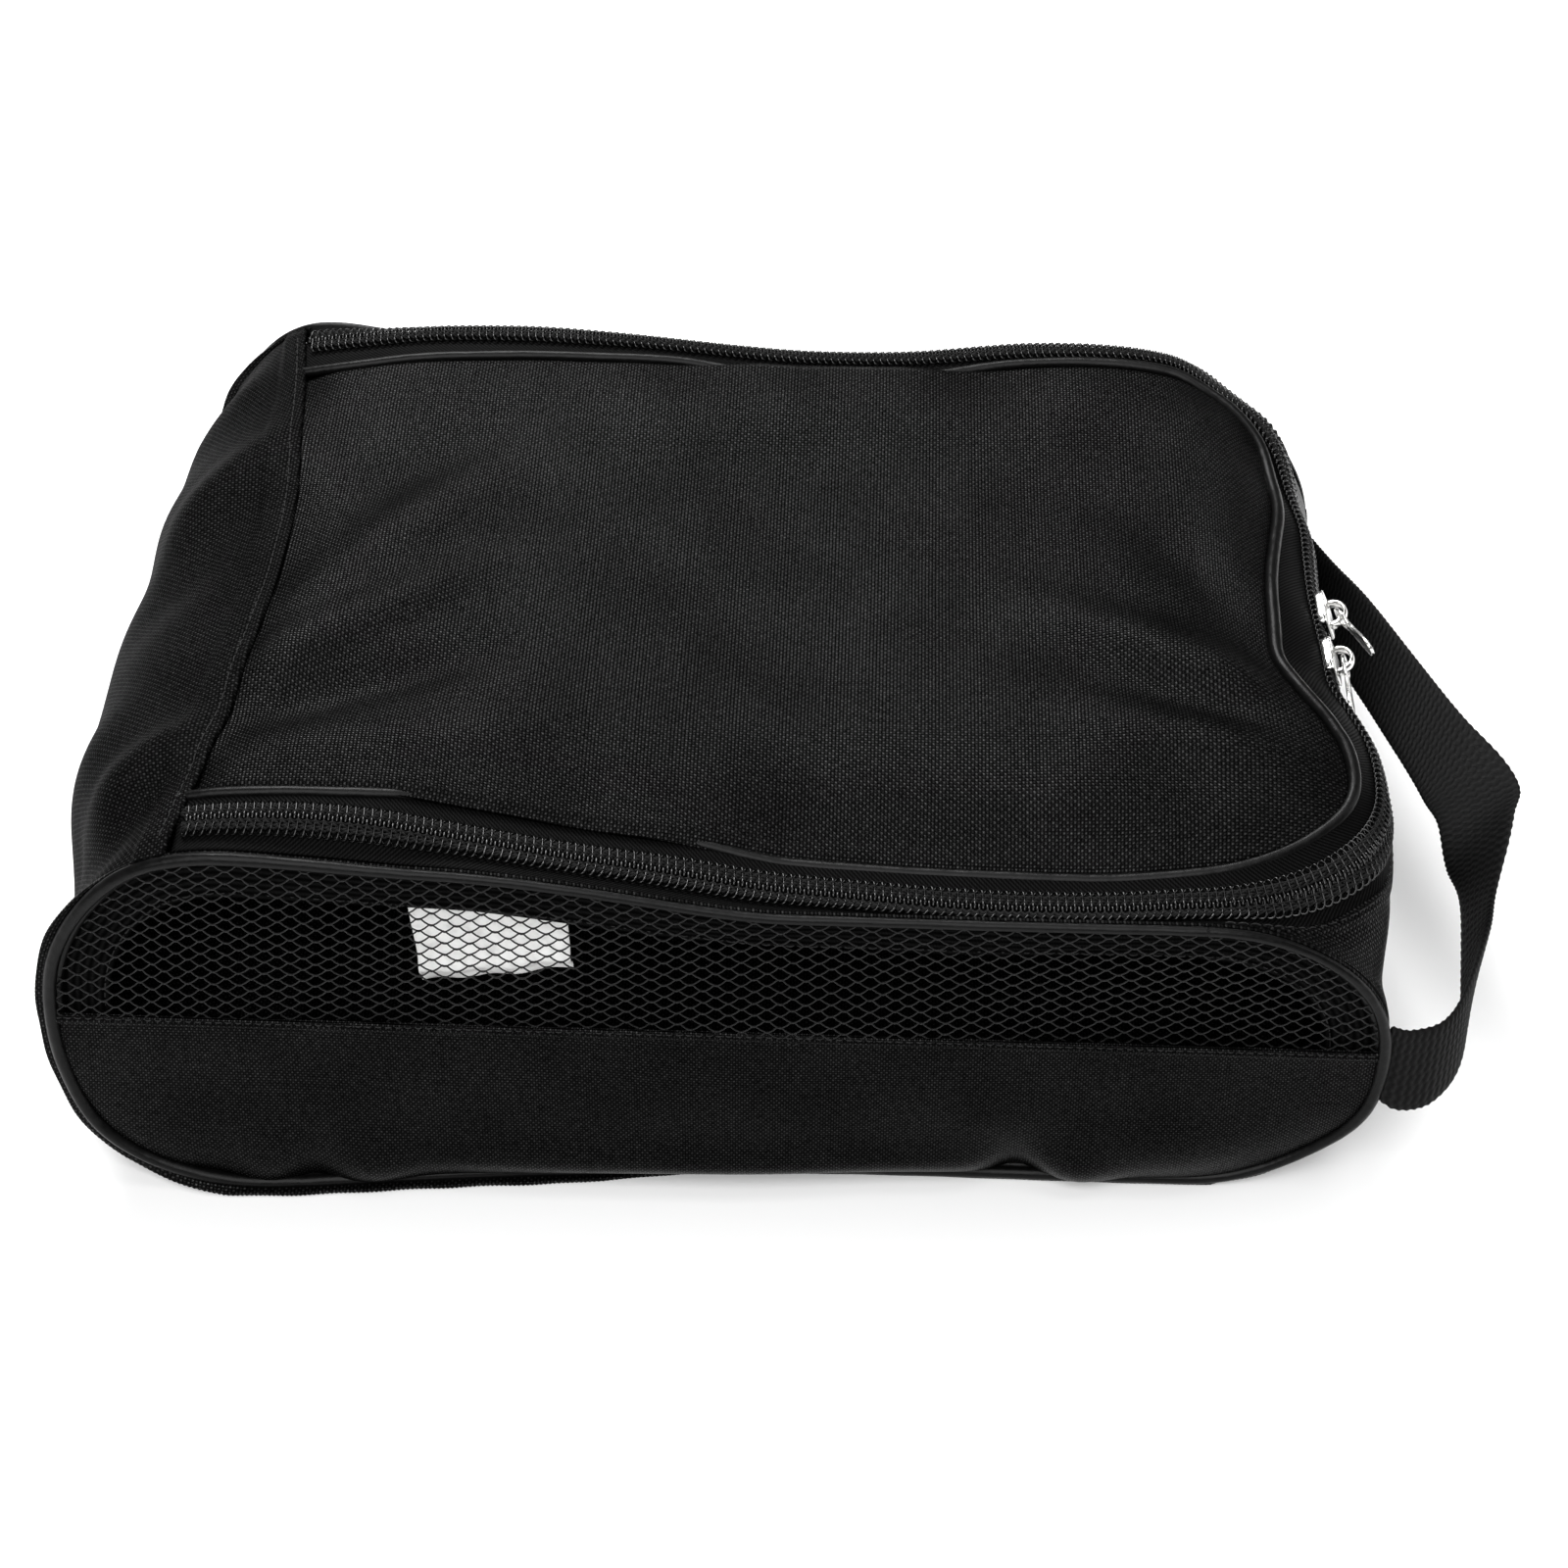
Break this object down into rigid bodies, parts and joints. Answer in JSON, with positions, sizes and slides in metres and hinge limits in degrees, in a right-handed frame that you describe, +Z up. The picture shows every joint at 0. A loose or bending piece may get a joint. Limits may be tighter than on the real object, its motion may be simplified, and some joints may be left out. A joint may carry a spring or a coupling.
{
  "type": "golf shoe bag",
  "caption": "Soft zipped golf shoe bag lying flat: woven lid on an end-seam hinge, U-shaped coil zip, mesh side vents and a webbing carrying loop.",
  "frame": {"origin": "on the rest face, midway between the two side panels and near the middle of the length", "axes": "+X along the bag towards the carrying handle, +Y from the near side panel to the far one, +Z up, out of the lid"},
  "size_m": [0.3957, 0.251, 0.1169],
  "materials": {
    "woven_polyester": "matt black plain weave",
    "smooth_nylon": "black, fine weave with a soft sheen",
    "knitted_mesh": "black open hexagonal knit",
    "zip_tape": "black twill tape",
    "binding_tape": "black ribbed tape",
    "webbing": "black coarse webbing",
    "label_cloth": "white satin, unprinted",
    "gloss_piping": "glossy black vinyl",
    "zip_coil": "black, slightly shiny",
    "nickel": "bright nickel plate"
  },
  "bodies": {
    "body": {"base_panel": "woven_polyester", "hinge_end_panel": "woven_polyester", "handle_end_panel": "woven_polyester", "zip_tape_body": "zip_tape", "zip_coil_body": "zip_coil", "near_mesh_panel": "knitted_mesh", "near_lower_panel": "smooth_nylon", "near_hem_tape": "smooth_nylon", "near_piping": "gloss_piping", "near_seam_binding": "binding_tape", "far_mesh_panel": "knitted_mesh", "far_lower_panel": "smooth_nylon", "far_hem_tape": "smooth_nylon", "far_piping": "gloss_piping", "far_seam_binding": "binding_tape", "care_label": "label_cloth"},
    "lid": {"lid_panel": "woven_polyester", "lid_piping": "gloss_piping", "zip_tape_lid": "zip_tape", "zip_coil_lid": "zip_coil"},
    "slider_near": {"slider_near": "nickel"},
    "slider_far": {"slider_far": "nickel"},
    "pull_near": {"pull_near": "nickel"},
    "pull_far": {"pull_far": "nickel"},
    "handle": {"handle_strap": "webbing"}
  },
  "joints": [
    {"name": "lid_hinge", "type": "hinge", "parent": "body", "child": "lid", "pos_m": [-0.13, 0, 0.1146], "axis": [0, -1, 0], "range_deg": [0, 110], "deforming": ["zip_tape_lid", "zip_coil_lid"]},
    {"name": "slider_near_slide", "type": "slide", "parent": "body", "child": "slider_near", "axis": [0, -1, 0], "range_m": [0, 0.013]},
    {"name": "slider_far_slide", "type": "slide", "parent": "body", "child": "slider_far", "axis": [0, 1, 0], "range_m": [0, 0.033]},
    {"name": "pull_near_hinge", "type": "hinge", "parent": "slider_near", "child": "pull_near", "pos_m": [0.16711, -0.00964, 0.09686], "axis": [-0.3945, 0, 0.9189], "range_deg": [0, 65]},
    {"name": "pull_far_hinge", "type": "hinge", "parent": "slider_far", "child": "pull_far", "pos_m": [0.16711, 0.00964, 0.09686], "axis": [-0.3945, 0, 0.9189], "range_deg": [0, 130]},
    {"name": "handle_swing", "type": "hinge", "parent": "body", "child": "handle", "pos_m": [0.1772, 0, 0.049], "axis": [0, -1, 0], "range_deg": [-30, 45], "stiffness_Nm_per_rad": 0.2}
  ]
}
